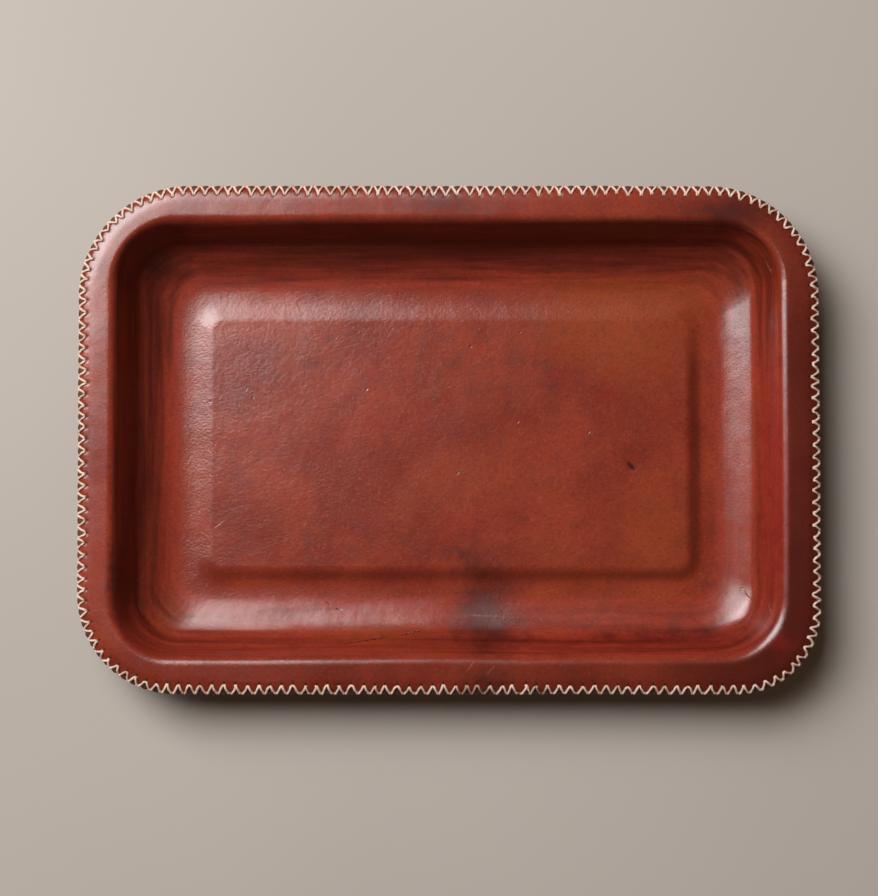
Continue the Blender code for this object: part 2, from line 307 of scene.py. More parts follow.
def ring_plan(inset, fineness):
    """Places and outward headings round the tray at this inset, from the front right corner."""
    steps = (CORNER_STEPS, LONG_STEPS, SHORT_STEPS)
    corner, long, short = (round(count * fineness) for count in steps)
    shift = FLOOR_OFFSET * min(max((inset - LIP_INSET) / (RING_INSET - LIP_INSET), 0.0), 1.0)
    half = np.array((OUTLINE_LENGTH, OUTLINE_WIDTH)) / 2 - inset
    sides = np.array(((1, -1), (1, 1), (-1, 1), (-1, -1)))
    radii = corner_radii(inset)
    places, headings = [], []
    for turn in range(4):
        angles = QUARTER_TURN * (turn - 1 + np.arange(corner) / corner)
        outward = np.stack((np.cos(angles), np.sin(angles)), axis=1)
        centre = sides[turn] * (half - radii[turn])
        places.append(centre + radii[turn] * outward)
        headings.append(outward)
        after = (turn + 1) % 4
        flat = np.array((math.cos(QUARTER_TURN * turn), math.sin(QUARTER_TURN * turn)))
        start = centre + radii[turn] * flat
        end = sides[after] * (half - radii[after]) + radii[after] * flat
        shares = np.arange(short if turn % 2 == 0 else long)[:, None]
        places.append(start + (end - start) * shares / len(shares))
        headings.append(np.repeat(flat[None, :], len(shares), axis=0))
    places, headings = np.concatenate(places), np.concatenate(headings)
    panel_share = float(smooth(inset, RING_INSET - 0.008, RING_INSET + 0.004))
    places[:, 1] -= shift + PANEL_BACK_OFFSET * panel_share * np.maximum(headings[:, 1], 0.0)
    return places, headings


def hand_shift(share, inset, height):
    """How far hand work moves a ring outward and up: the edge, the lip and the rim waver."""
    edge = EDGE_STRAY * hand_waver(share, first=2, last=24, seed=11)
    edge = edge * (1 - smooth(inset, 0.0, LIP_INSET))
    lip_share = smooth(inset, 0.004, RIM_WIDTH) * (1 - smooth(inset, LIP_INSET, RING_INSET))
    lip = LIP_STRAY * hand_waver(share, first=2, last=12, seed=12) * lip_share
    lift = RIM_STRAY * hand_waver(share, first=2, last=7, seed=13)
    lift = lift * smooth(height, RIM_STRAY_START, RIM_HEIGHT)
    right_side = smooth(np.cos(FULL_TURN * (share - RIGHT_SIDE_SHARE)), 0.6, 0.95)
    return edge + lip + RIGHT_LIP_SHIFT * right_side * lip_share, lift


class EdgeMeasure:
    """Distance round the cut edge, counter-clockwise from the middle of the front."""

    def __init__(self):
        places, headings = ring_plan(0.0, 2)
        steps = np.linalg.norm(np.roll(places, -1, axis=0) - places, axis=1)
        start = OUTLINE_LENGTH / 2 - OUTLINE_RADII[0]
        self.around = steps.sum()
        self.shares = np.arange(len(places) + 1) / len(places)
        self.distances = start + np.concatenate(([0.0], np.cumsum(steps)))
        self.places = np.vstack((places, places[:1]))
        self.headings = np.vstack((headings, headings[:1]))

    def along(self, count):
        """Distance round the edge of each point of a ring that has this many."""
        return np.interp(np.arange(count) / count, self.shares, self.distances)

    def look_up(self, distance):
        """Place, outward heading and share of the ring's points at each distance."""
        wrapped = self.distances[0] + (np.asarray(distance) - self.distances[0]) % self.around
        place = [np.interp(wrapped, self.distances, self.places[:, axis]) for axis in (0, 1)]
        turn = [np.interp(wrapped, self.distances, self.headings[:, axis]) for axis in (0, 1)]
        heading = np.stack(turn, axis=-1)
        heading /= np.linalg.norm(heading, axis=-1, keepdims=True)
        return np.stack(place, axis=-1), heading, np.interp(wrapped, self.distances, self.shares)


# Sewn edge


class StitchRow:
    """The row of holes: even, but for the hand that made them, and nearer the edge on some sides."""

    def __init__(self, edge):
        rng = np.random.default_rng(21)
        self.around = edge.around
        pitch = edge.around / STITCHES
        self.holes = SEAM_JOIN + pitch * np.arange(STITCHES) + rng.normal(0, HOLE_WAVER, STITCHES)
        heading = edge.look_up(self.holes)[1]
        side = np.degrees(np.arctan2(heading[:, 1], heading[:, 0])) % 360
        self.insets = np.interp(side, HOLE_SIDES, HOLE_INSETS)
        most = 2 * HOLE_INSET_WAVER
        self.insets += np.clip(rng.normal(0, HOLE_INSET_WAVER, STITCHES), -most, most)
        self.slits = np.interp(side, HOLE_SIDES, SLIT_LENGTHS)

    def phase(self, along):
        """Cosine and sine of how far a place is from one hole to the next."""
        row = np.concatenate([self.holes + turn * self.around for turn in (-1, 0, 1)])
        count = np.interp(along, row, np.arange(len(row)))
        return np.cos(FULL_TURN * count), np.sin(FULL_TURN * count)

    def hole_inset(self, along):
        return np.interp(along, self.holes, self.insets, period=self.around)


def edge_bulge(cosine, inset):
    """The leather's edge gives way under the threads and swells out between them."""
    swell = (EDGE_BULGE + EDGE_DENT) * (0.5 + 0.5 * cosine) ** BULGE_FULLNESS - EDGE_DENT
    return swell * (1 - smooth(inset, 0.0, BULGE_REACH))


def edge_round(inset):
    """How far the grain side drops where sewing has pulled its edge round."""
    return EDGE_ROUND_DROP * np.clip(1 - inset / EDGE_ROUND_WIDTH, 0, 1) ** 2


def seam_relief(cosine, sine, inset, hole_inset):
    """Height at the seam: a groove under each thread, a pit at each hole, full leather between."""
    off_hole = np.abs(np.arctan2(sine, cosine)) / FULL_TURN
    leg_inset = hole_inset * (1 - off_hole / LEG_REACH)
    groove = GROOVE_DEPTH * np.exp(-(((inset - leg_inset) / GROOVE_SPREAD) ** 2))
    off_pit = (inset - hole_inset - PIT_OFFSET) / PIT_SPREAD
    pit = PIT_DEPTH * np.exp(-((off_hole / PIT_LENGTH) ** 2) - off_pit ** 2)
    return -groove - pit


# Patches of dye; those noted below are painted shade, and two orange ones hold painted sheen: x, y,
# radius along x and y in mm, strength
DARK_PATCHES = (
    (20, -86, 16, 13, 0.66),
    (20, -107, 13, 10, 0.40),
    (19, -130, 13, 9, 0.38),
    (14, -62, 14, 8, 0.40),
    (118, -106, 60, 8, 0.46),
    # The next three are painted shade: the back left corner of the wall, the left wall under the lip,
    # and the back wall under the lip at the right
    (-155, 94, 13, 9, 0.55),
    (-177, -74, 6, 20, 0.70),
    (154, 118, 17, 8, 0.60),
    (192, -8, 10, 24, 0.15),
    (142, -79, 12, 9, 0.40),
    (-2, 34, 24, 16, 0.30),
    (46, 32, 14, 16, 0.35),
    (-48, -55, 28, 8, 0.25),
    (0, 127, 26, 8, 0.35),
    (60, -131, 120, 5, 0.25),
    (150, 127, 40, 7, 0.30),
)
GREY_PATCHES = (
    (-103, 26, 18, 24, 0.20),
    (-80, 45, 22, 10, 0.30),
    (-60, -50, 22, 12, 0.25),
    (20, -122, 12, 16, 0.15),
    (-180, 90, 12, 30, 0.30),
    (0, 126, 22, 8, 0.55),
)
ORANGE_PATCHES = (
    (114, -50, 20, 22, 0.60),
    # Orange dye with painted sheen on the right of the panel
    (104, 36, 18, 16, 0.40),
    (60, 58, 26, 14, 0.50),
    (104, 80, 40, 9, 0.75),
    # Orange dye with the painted highlight of the step near the back right corner of the panel
    (112, 58, 26, 12, 0.45),
    (-12, -32, 22, 22, 0.30),
    (18, -14, 26, 16, 0.25),
    (-151, -95, 9, 9, 0.60),
    (166, 101, 12, 9, 0.50),
    (80, -88, 50, 10, 0.30),
    (58, -58, 12, 16, 0.40),
    (-40, -106, 24, 4, 0.50),
)
CHERRY_PATCHES = (
    (176, -22, 5, 56, 0.60),
    (108, -109, 60, 5, 0.50),
    (88, 26, 8, 3, 0.50),
    (8, -50, 24, 14, 0.30),
    (-30, 8, 30, 24, 0.25),
    (-186, -30, 5, 50, 0.40),
)
# Strength of dye and of painted shade by side, in degrees as for the holes
DYE_AND_SHADE_SIDES = (0, 40, 90, 140, 180, 230, 270, 320, 360)
# Walls burnished dark in streaks, with painted shade on the sides that face away from the light: most
# on the back and left walls, less on the others
WALL_DYES_AND_SHADE = (0.20, 0.66, 0.92, 0.88, 0.74, 0.55, 0.34, 0.42, 0.20)
# The rim is darkest at the front right and dark along the right and the front, which face away from
# the light: partly dye, partly painted shade
RIM_DYES_AND_SHADE = (0.74, 0.50, 0.15, 0.0, 0.0, 0.25, 0.42, 1.10, 0.74)
# Painted shade in the groove round the panel, along its right and front sides, where the step faces
# away from the light
GROOVE_SHADES = (1.0, 0.3, 0.0, 0.0, 0.0, 0.4, 0.7, 0.9, 1.0)
# Share of the tray's half width over which one side's dye and painted shade pass into the next
SIDE_BLEND = 0.75

# Insets between which the wall's dye and painted shade come in, thin at the heel and end on the floor
WALL_DYE_SHADE_START = (RIM_WIDTH - 0.0002, LIP_INSET + 0.0005)
WALL_DYE_SHADE_THINS = (WALL_FOOT_INSET, HEEL_INSET - 0.003)
WALL_DYE_SHADE_ENDS = (HEEL_INSET + 0.001, RING_INSET + 0.004)
WALL_DYE_SHADE_LOST_AT_HEEL = 0.22
# Middle and spread of the painted shade in the groove, as insets
GROOVE_SHADE_MIDDLE = RING_INSET + 0.0089
GROOVE_SHADE_SPREAD = 0.0040
# The wall's streaks are laid out round a circle of this radius, so that they have no end
STREAK_RADIUS = 0.2

# Dents and bulges: x, y, radius along x and y in mm, height in mm
DENTS = (
    (18, -90, 10, 20, -0.30),
    (-60, -98, 30, 5, 0.16),
    (163, 60, 5, 30, 0.20),
    (168, -98, 9, 9, -0.50),
    (175, 20, 8, 60, -0.40),
    (156, 44, 5, 34, -0.22),
    (-115, -115, 25, 8, -0.40),
    (152, -96, 5, 5, -0.18),
    (-118, -97, 20, 5, 0.20),
    (101, -15, 6, 6, -0.25),
    (152, 74, 7, 6, -0.20),
)

# Relief of the hide over its moulded shape: height, size and seed
HOLLOWS = (0.00013, 0.036, 31)
RIPPLES = (0.00005, 0.013, 32)
PEBBLING = (0.000020, 0.0046, 33)
CREASES = (0.000020, 0.0026, 34)
WALL_FOLDS = (0.00009, 0.045, 35)
CREASE_TURN = math.radians(52)


def patch_sum(x, y, patches):
    """Soft oval patches, added up."""
    total = np.zeros_like(x)
    for centre_x, centre_y, radius_x, radius_y, strength in patches:
        u, v = (x / MM - centre_x) / radius_x, (y / MM - centre_y) / radius_y
        total += strength * np.exp(-(u * u + v * v) / 2)
    return total


def side_of(points):
    """Which side of the tray a point is on: 0 degrees is the right, 90 the back, and so on."""
    half = np.array((OUTLINE_LENGTH, OUTLINE_WIDTH)) / 2
    reach = np.maximum(np.abs(points[:, :2]) - (half - half[1] * SIDE_BLEND), 0.0)
    across, up = (reach * np.sign(points[:, :2])).T
    return np.degrees(np.arctan2(up, across)) % 360


def hide_relief(x, y, around, across, inset):
    """Height of the grain side over its moulded shape, down to its diagonal creases."""
    relief = 0.0
    for height, size, seed in (HOLLOWS, RIPPLES, PEBBLING):
        relief = relief + height * hide_noise(x, y, size, seed)
    height, size, seed = CREASES
    c, s = math.cos(CREASE_TURN), math.sin(CREASE_TURN)
    off_rim = 0.3 + 0.7 * smooth(inset, RIM_WIDTH, LIP_INSET)
    relief = relief + height * off_rim * hide_noise((c * x + s * y) / 2, c * y - s * x, size, seed)
    height, size, seed = WALL_FOLDS
    relief = relief + height * wall_share(inset) * hide_noise(around, across * 8, size, seed)
    return relief + patch_sum(x, y, DENTS) * MM


def wall_share(inset):
    """1 on the wall and the sweep, 0 on the rim and the panel."""
    return smooth(inset, RIM_WIDTH, LIP_INSET) * (1 - smooth(inset, RING_INSET - 0.006, RING_INSET))


# Skin of a leather

# What the materials read at each point, and how many numbers each value has
POINT_VALUES = {
    "streak_place": 3,
    "seam_place": 3,
    "hole_inset": 1,
    "rim_dye_and_shade": 1,
    "wall_share": 1,
    "wall_dye_and_shade": 1,
    "groove_shade": 1,
    "dark_dye_and_shade": 1,
    "grey_dye": 1,
    "orange_dye_and_sheen": 1,
    "cherry_dye": 1,
}


def point_values(points, around, across, wave, hole_inset, inset):
    """The values of POINT_VALUES at each point, side by side."""
    ones = np.ones(len(points))
    side = side_of(points)
    x, y = points[:, 0], points[:, 1]
    turn = around / STREAK_RADIUS
    fade = WALL_DYE_SHADE_LOST_AT_HEEL * smooth(inset, *WALL_DYE_SHADE_THINS)
    fade = fade + (1 - WALL_DYE_SHADE_LOST_AT_HEEL) * smooth(inset, *WALL_DYE_SHADE_ENDS)
    # Dye and painted shade on the walls
    wall_dye_shade_share = smooth(inset, *WALL_DYE_SHADE_START) * (1 - fade)
    rim = 1 - smooth(inset, RIM_WIDTH - 0.001, LIP_INSET)
    # Painted shade in the groove round the panel
    shade_in_groove = np.exp(-(((inset - GROOVE_SHADE_MIDDLE) / GROOVE_SHADE_SPREAD) ** 2))
    return np.column_stack((
        STREAK_RADIUS * np.cos(turn),
        STREAK_RADIUS * np.sin(turn),
        across * ones,
        wave[0] * ones,
        wave[1] * ones,
        inset * ones,
        hole_inset * ones,
        rim * np.interp(side, DYE_AND_SHADE_SIDES, RIM_DYES_AND_SHADE),
        wall_share(inset) * ones,
        wall_dye_shade_share * np.interp(side, DYE_AND_SHADE_SIDES, WALL_DYES_AND_SHADE),
        shade_in_groove * np.interp(side, DYE_AND_SHADE_SIDES, GROOVE_SHADES),
        patch_sum(x, y, DARK_PATCHES),
        patch_sum(x, y, GREY_PATCHES),
        patch_sum(x, y, ORANGE_PATCHES),
        patch_sum(x, y, CHERRY_PATCHES),
    ))


class Skin:
    """Points, faces and point values of one leather, put together ring by ring."""

    def __init__(self, edge, row):
        self.edge, self.row = edge, row
        self.points, self.values, self.faces, self.count = [], [], [], 0

    def add(self, points, values):
        first = self.count
        self.points.append(points)
        self.values.append(values)
        self.count += len(points)
        return np.arange(first, self.count)

    def add_ring(self, station, depth, fineness, across=0.0, pull_back=0.0, grain=False):
        """One ring at a station of the section. The grain side also has its relief."""
        inset, height, lean = station
        plan_inset = inset - depth * math.sin(lean) + pull_back
        places, headings = ring_plan(plan_inset, fineness)
        along = self.edge.along(len(places))
        wave = self.row.phase(along)
        hole_inset = self.row.hole_inset(along)
        outward, lift = hand_shift(np.arange(len(places)) / len(places), inset, height)
        outward = outward + edge_bulge(wave[0], inset) * math.cos(lean)
        lift = lift - depth * math.cos(lean) + edge_bulge(wave[0], inset) * math.sin(lean)
        if grain:
            relief = hide_relief(places[:, 0], places[:, 1], along, across, inset)
            if inset < SEAM_BAND:
                relief = relief * SEAM_RELIEF_SHARE + seam_relief(*wave, inset, hole_inset)
                relief = relief - edge_round(inset)
            outward = outward - relief * math.sin(lean)
            lift = lift + relief * math.cos(lean)
        plan = places + headings * outward[:, None]
        points = np.column_stack((plan, height + lift))
        values = point_values(points, along, across, wave, hole_inset, inset)
        return self.add(points, values)

    def join(self, outer, inner, look_down=False):
        """Faces between two rings, where the inner one may have half as many points."""
        start = len(self.faces)
        after_outer, after_inner = np.roll(outer, -1), np.roll(inner, -1)
        if len(outer) == len(inner):
            self.faces += np.stack((outer, after_outer, after_inner, inner), axis=1).tolist()
        else:
            first, middle, last = outer[0::2], outer[1::2], np.roll(outer, -2)[0::2]
            self.faces += np.stack((first, middle, inner), axis=1).tolist()
            self.faces += np.stack((middle, after_inner, inner), axis=1).tolist()
            self.faces += np.stack((middle, last, after_inner), axis=1).tolist()
        if look_down:
            self.faces[start:] = [face[::-1] for face in self.faces[start:]]

    def add_panel(self, border):
        """A grid over the panel, inside its border ring, laid between the border's four sides."""
        points = np.vstack(self.points)[border]
        rolled = np.roll(np.arange(len(border)), -(CORNER_STEPS // 2))
        short, long = SHORT_STEPS + CORNER_STEPS, LONG_STEPS + CORNER_STEPS
        right = rolled[:short + 1]
        back = rolled[short:short + long + 1][::-1]
        left = rolled[short + long:2 * short + long + 1][::-1]
        front = np.append(rolled[2 * short + long:], rolled[0])
        low, high, west, east = (points[side][:, :2] for side in (front, back, left, right))
        u = np.linspace(0, 1, long + 1)[:, None, None]
        v = np.linspace(0, 1, short + 1)[None, :, None]
        plan = (1 - v) * low[:, None] + v * high[:, None] + (1 - u) * west[None] + u * east[None]
        plan -= (1 - u) * (1 - v) * low[0] + u * (1 - v) * low[-1]
        plan -= (1 - u) * v * high[0] + u * v * high[-1]
        inner = plan[1:-1, 1:-1].reshape(-1, 2)
        x, y = inner[:, 0], inner[:, 1]
        height = PANEL_HEIGHT + hide_relief(x, y, x, y, PANEL_TOP_INSET)
        points = np.column_stack((inner, height))
        values = point_values(points, np.zeros(len(inner)), 0.0, (-1, 0), 0.0, PANEL_TOP_INSET)
        grid = np.zeros((long + 1, short + 1), int)
        grid[1:-1, 1:-1] = self.add(points, values).reshape(long - 1, short - 1)
        grid[:, 0], grid[:, -1] = border[front], border[back]
        grid[0, :], grid[-1, :] = border[left], border[right]
        quads = np.stack((grid[:-1, :-1], grid[1:, :-1], grid[1:, 1:], grid[:-1, 1:]), axis=-1)
        self.faces += quads.reshape(-1, 4).tolist()

    def build(self, name):
        mesh = bpy.data.meshes.new(name)
        mesh.from_pydata(np.vstack(self.points).tolist(), [], self.faces)
        values = np.vstack(self.values).astype(np.float32)
        column = 0
        for value, width in POINT_VALUES.items():
            kind, key = ("FLOAT", "value") if width == 1 else ("FLOAT_VECTOR", "vector")
            attribute = mesh.attributes.new(value, kind, "POINT")
            attribute.data.foreach_set(key, values[:, column:column + width].ravel())
            column += width
        mesh.shade_smooth()
        return add_object(name, mesh)


# How the face leather's cut edge is rounded: depth, and how far it lies back from the outline
ROUNDED_EDGE = ((0.0009, 0.00025), (0.0012, 0.00008), (0.0015, 0.0), (0.0020, 0.0))
LINING_EDGE_DEPTHS = (BACKING_UPPER + 0.0003, BACKING_UPPER + 0.0010, STACK_DEPTH - 0.0002)
UNDER_EDGE_INSET = 0.0006


def face_leather(edge, row):
    """The grain side out: a dense upper skin, a rounded cut edge and a plain underside."""
    skin = Skin(edge, row)
    cut = rim_stations((0.0,))[0]
    rounded = [skin.add_ring(cut, depth, 2, pull_back=back) for depth, back in ROUNDED_EDGE]
    for upper, lower in zip(rounded, rounded[1:]):
        skin.join(lower, upper)
    band, rest = upper_stations()
    across = across_distances(band + rest)
    previous = rounded[0]
    for index, station in enumerate(band + rest):
        fineness = 2 if index < len(band) else 1
        ring = skin.add_ring(station, 0.0, fineness, across=across[index], grain=True)
        skin.join(previous, ring)
        previous = ring
    skin.add_panel(previous)
    under_edge = rim_stations((UNDER_EDGE_INSET,))[0]
    previous = skin.add_ring(under_edge, FACE_THICKNESS, 1)
    skin.join(rounded[-1], previous, look_down=True)
    for station in under_stations() + step_stations(steps=3):
        ring = skin.add_ring(station, FACE_THICKNESS, 0.5)
        skin.join(previous, ring, look_down=True)
        previous = ring
    skin.faces.append(previous[::-1].tolist())
    return skin.build("face_leather_hide")


def backing_leather(edge, row):
    """The lining: flesh side out, with a rounded cut edge and a flat floor."""
    skin = Skin(edge, row)
    under_edge = rim_stations((UNDER_EDGE_INSET,))[0]
    first = skin.add_ring(under_edge, BACKING_UPPER, 1)
    previous = first
    for station in under_stations():
        ring = skin.add_ring(station, BACKING_UPPER, 0.5)
        skin.join(previous, ring)
        previous = ring
    skin.faces.append(previous.tolist())
    cut = rim_stations((0.0,))[0]
    previous = first
    for depth in LINING_EDGE_DEPTHS:
        ring = skin.add_ring(cut, depth, 1)
        skin.join(ring, previous)
        previous = ring
    shown = rim_stations((UNDER_EDGE_INSET, 0.002, 0.004, 0.006, 0.009, 0.012))
    shown += lip_stations(steps=6) + wall_stations(steps=6)
    shown += heel_stations(steps=6) + sweep_stations(steps=10)
    for station, distance in zip(shown, across_distances(shown)):
        ring = skin.add_ring(station, STACK_DEPTH, 1, across=distance)
        skin.join(previous, ring, look_down=True)
        previous = ring
    skin.faces.append(previous[::-1].tolist())
    return skin.build("backing_leather_lining")


# Sewing thread

THREAD_NODES = ("thread_front_right", "thread_right_back", "thread_back_left", "thread_left_front")
THREAD_SIDES = 9
THREAD_STEPS = 3
PLIES = 3
PLY_DEPTH_SHARE = 0.12
PLY_TURN = 0.0042
# The thread swells and thins by this share, over about this length
SWELL_SHARE = 0.20
SWELL_LENGTH = 0.009
# How far a stitch strays along the row, and a leg of it sideways
SLACK_STRAY = 0.00028
BOW_STRAY = 0.00024
# How far the two passes lie apart in a hole, and the second one outside the first at the edge
HOLE_SPREAD = 0.00030
BACK_PASS_OVER = 0.0005

# One stitch, hole to hole: share of the way, of the hole's inset and of its slit, depth, outward
STITCH_KEYS = (
    (0.00, 1.00, 0.8, 0.0020, 0.0),
    (0.00, 1.02, 0.7, 0.0001, 0.0),
    (0.05, 0.93, 0.0, -0.00042, 0.0),
    (0.17, 0.58, 0.0, -0.00048, 0.0),
    (0.30, 0.20, 0.0, -0.00042, 0.0),
    (0.38, 0.00, 0.0, 0.0001, -0.00010),
    (0.50, 0.00, 0.0, 0.0009, 0.00016),
    (0.62, 0.00, 0.0, 0.0021, 0.00020),
    (0.69, 0.00, 0.0, 0.0036, 0.00010),
    (0.76, 0.24, 0.0, 0.0046, 0.0),
    (0.86, 0.62, 0.0, 0.0046, 0.0),
    (0.95, 0.94, 0.0, 0.0045, 0.0),
    (1.00, 1.00, 0.4, 0.0038, 0.0),
)


def rim_points(edge, along, inset, depth, outward):
    """World points that lie on or round the rim's edge, with the waver of hand work."""
    places, headings, share = edge.look_up(along)
    height, lean = rim_seat_at(inset)
    across, lift = hand_shift(share, inset, height)
    out = across - inset + depth * np.sin(lean) + outward * np.cos(lean)
    height = height + lift - depth * np.cos(lean) + outward * np.sin(lean)
    return np.column_stack((places + headings * out[:, None], height))


def smooth_keys(keys, steps):
    """A curve through the keys, with this many points from one to the next."""
    before = np.vstack((2 * keys[0] - keys[1], keys[:-1]))
    after = np.vstack((keys[1:], 2 * keys[-1] - keys[-2]))
    slopes = (after - before) / 2
    curve = []
    for step in range(steps):
        t = step / steps
        a, b = 2 * t ** 3 - 3 * t ** 2 + 1, t ** 3 - 2 * t ** 2 + t
        c, d = 3 * t ** 2 - 2 * t ** 3, t ** 3 - t ** 2
        curve.append(a * keys[:-1] + b * slopes[:-1] + c * keys[1:] + d * slopes[1:])
    return np.stack(curve, axis=1).reshape(-1, keys.shape[1])


def thread_keys(holes, insets, slits, back, rng):
    """Keys of one pass of the thread: along the row, or back again over the first pass."""
    keys = []
    side = -1 if back else 1
    for index, (start, end) in enumerate(zip(holes, holes[1:])):
        slack = rng.normal(0, SLACK_STRAY)
        bow = rng.normal(0, BOW_STRAY)
        for share, in_share, slit_share, depth, outward in STITCH_KEYS:
            spread = HOLE_SPREAD * side * (1 if share < 0.5 else -1) * (1 - 2 * min(share, 1 - share))
            inset = insets[index] + (insets[index + 1] - insets[index]) * share
            inset = inset * in_share + slits[index] * slit_share + bow * (0.1 < share < 0.3)
            inset = max(0.0, inset)
            depth += float(edge_round(inset)) if depth < 0 else 0.0
            along = start + (end - start) * share + spread + slack * (0 < share < 1)
            over = BACK_PASS_OVER if back and outward > 0 else 0.0
            keys.append((along, inset, depth, outward + over))
    return np.array(keys)


def thread_tube(points, rng):
    """A waxed three-ply thread along these points: its section has a lobe for each ply."""
    tangents = np.gradient(points, axis=0)
    tangents /= np.linalg.norm(tangents, axis=1, keepdims=True)
    lengths = np.concatenate(([0.0], np.cumsum(np.linalg.norm(np.diff(points, axis=0), axis=1))))
    normal = np.cross(tangents[0], (0.0, 0.0, 1.0))
    normals = []
    for tangent in tangents:
        normal = normal - tangent * normal.dot(tangent)
        normal /= np.linalg.norm(normal)
        normals.append(normal)
    normals = np.array(normals)
    sides = np.cross(tangents, normals)
    angles = FULL_TURN * np.arange(THREAD_SIDES) / THREAD_SIDES
    turned = PLIES * angles[None, :] - FULL_TURN * lengths[:, None] / PLY_TURN
    swell = hide_noise(lengths, np.zeros_like(lengths), SWELL_LENGTH, rng.integers(1000))
    waver = 1 + SWELL_SHARE * swell
    radius = THREAD_RADIUS * waver[:, None] * (1 + PLY_DEPTH_SHARE * np.cos(turned))
    spokes = np.cos(angles)[None, :, None] * normals[:, None]
    spokes = spokes + np.sin(angles)[None, :, None] * sides[:, None]
    return points[:, None] + spokes * radius[..., None]


def tube_faces(rings, sides, first):
    """Quads along a tube, and a cap on each end."""
    ring = first + np.arange(rings * sides).reshape(rings, sides)
    after = np.roll(ring, -1, axis=1)
    quads = np.stack((ring[:-1], after[:-1], after[1:], ring[1:]), axis=-1).reshape(-1, 4)
    return quads.tolist() + [ring[0][::-1].tolist(), ring[-1].tolist()]


def sewing_thread(node, first, last, edge, row):
    """One length of thread: the pass along the row and the pass back over it."""
    rng = np.random.default_rng(41 + first)
    holes = np.concatenate((row.holes, row.holes + edge.around))[first:last + 1]
    insets = np.concatenate((row.insets, row.insets))[first:last + 1]
    slits = np.concatenate((row.slits, row.slits))[first:last + 1]
    points, faces, count = [], [], 0
    for back in (False, True):
        order = slice(None, None, -1) if back else slice(None)
        keys = thread_keys(holes[order], insets[order], slits[order], back, rng)
        keys = smooth_keys(keys, THREAD_STEPS)
        tube = thread_tube(rim_points(edge, *keys.T), rng)
        faces += tube_faces(len(tube), THREAD_SIDES, count)
        points.append(tube.reshape(-1, 3))
        count += len(points[-1])
    mesh = bpy.data.meshes.new(node + "_strand")
    mesh.from_pydata(np.vstack(points).tolist(), [], faces)
    mesh.shade_smooth()
    return add_object(mesh.name, mesh)


# Materials


def linear(colour):
    """Linear red, green, blue and alpha of an sRGB hex value."""
    parts = [int(colour[i:i + 2], 16) / 255 for i in (0, 2, 4)]
    return (*[c / 12.92 if c <= 0.04045 else ((c + 0.055) / 1.055) ** 2.4 for c in parts], 1.0)


def per_mm(size):
    """Texture scale of a pattern whose features are this many millimetres apart."""
    return 1 / (size * MM)


def fill(tree, node, inputs):
    """Sets a node's inputs, and links those that another node feeds."""
    for name, value in inputs.items():
        if isinstance(value, bpy.types.NodeSocket):
            tree.links.new(value, node.inputs[name])
        else:
            node.inputs[name].default_value = value


def add(tree, kind, inputs=None, out=0, **settings):
    """Adds a node with its settings and links, and gives back one of its outputs."""
    node = tree.nodes.new("ShaderNode" + kind)
    for name, value in settings.items():
        setattr(node, name, value)
    fill(tree, node, inputs or {})
    return node.outputs[out]


def new_material(name):
    material = bpy.data.materials.new(name)
    material.use_nodes = True
    return material, material.node_tree, material.node_tree.nodes["Principled BSDF"]


def layered_colour(tree, ground, layers):
    """Colours laid over a ground. A layer is what drives it, from and to, strength and colour."""
    colour = linear(ground)
    for driver, low, high, strength, shade in layers:
        limits = {"Value": driver, "From Min": low, "From Max": high, "To Max": strength}
        share = add(tree, "MapRange", limits, interpolation_type="SMOOTHSTEP")
        colour = add(tree, "Mix", {0: share, 6: colour, 7: linear(shade)}, out=2, data_type="RGBA")
    return colour


# Marks on the grain side, in mm: x, y, length, width, and turn in degrees
CUTS = (
    (100.0, -13.6, 10.0, 4.4, -47),
    (-131.0, 22.0, 2.6, 1.7, 40),
    (-111.0, 28.5, 3.0, 1.0, 60),
    (-107.5, 24.0, 2.6, 1.4, -70),
    (-127.0, -6.5, 3.0, 1.0, 80),
    (-126.0, -45.5, 7.0, 0.9, 42),
    (-45.0, 28.6, 2.6, 1.6, 50),
    (12.0, 52.0, 2.6, 1.8, 0),
    (39.0, 60.0, 1.8, 1.4, 0),
    (38.0, 10.6, 2.4, 1.8, 60),
    (5.0, -17.5, 3.0, 1.0, 60),
    (77.0, 4.6, 3.4, 1.4, 80),
    (-60.5, -92.0, 5.2, 1.3, -16),
    (-66.0, -89.0, 5.0, 0.8, -40),
    (163.4, -84.8, 10.5, 0.7, -52),
    (160.2, -80.6, 3.0, 1.0, -15),
    (-46.0, -108.8, 46.0, 0.8, 8),
    (-20.0, -104.6, 24.0, 0.7, 14),
)
SCUFFS = (
    (105.0, -19.2, 1.8, 1.2, -40),
    (78.8, 4.0, 3.4, 1.3, 80),
    (-129.6, 21.2, 1.8, 1.2, 40),
    (-106.4, 22.6, 1.8, 1.0, -70),
    (6.4, -17.8, 3.2, 0.9, 60),
    (10.8, -31.0, 4.4, 0.9, 65),
    (65.4, -17.0, 6.0, 1.1, 88),
    (50.6, -98.0, 5.0, 1.2, -55),
    (115.6, -85.0, 1.6, 1.6, 0),
    (19.0, -95.6, 30.0, 1.1, -3),
    (38.4, -88.5, 8.0, 0.8, 88),
    (12.0, -121.0, 14.0, 1.2, 50),
    (22.0, -124.0, 12.0, 1.0, 52),
    (173.0, 93.5, 13.0, 0.9, -65),
    (172.6, -91.0, 10.0, 0.9, -82),
)
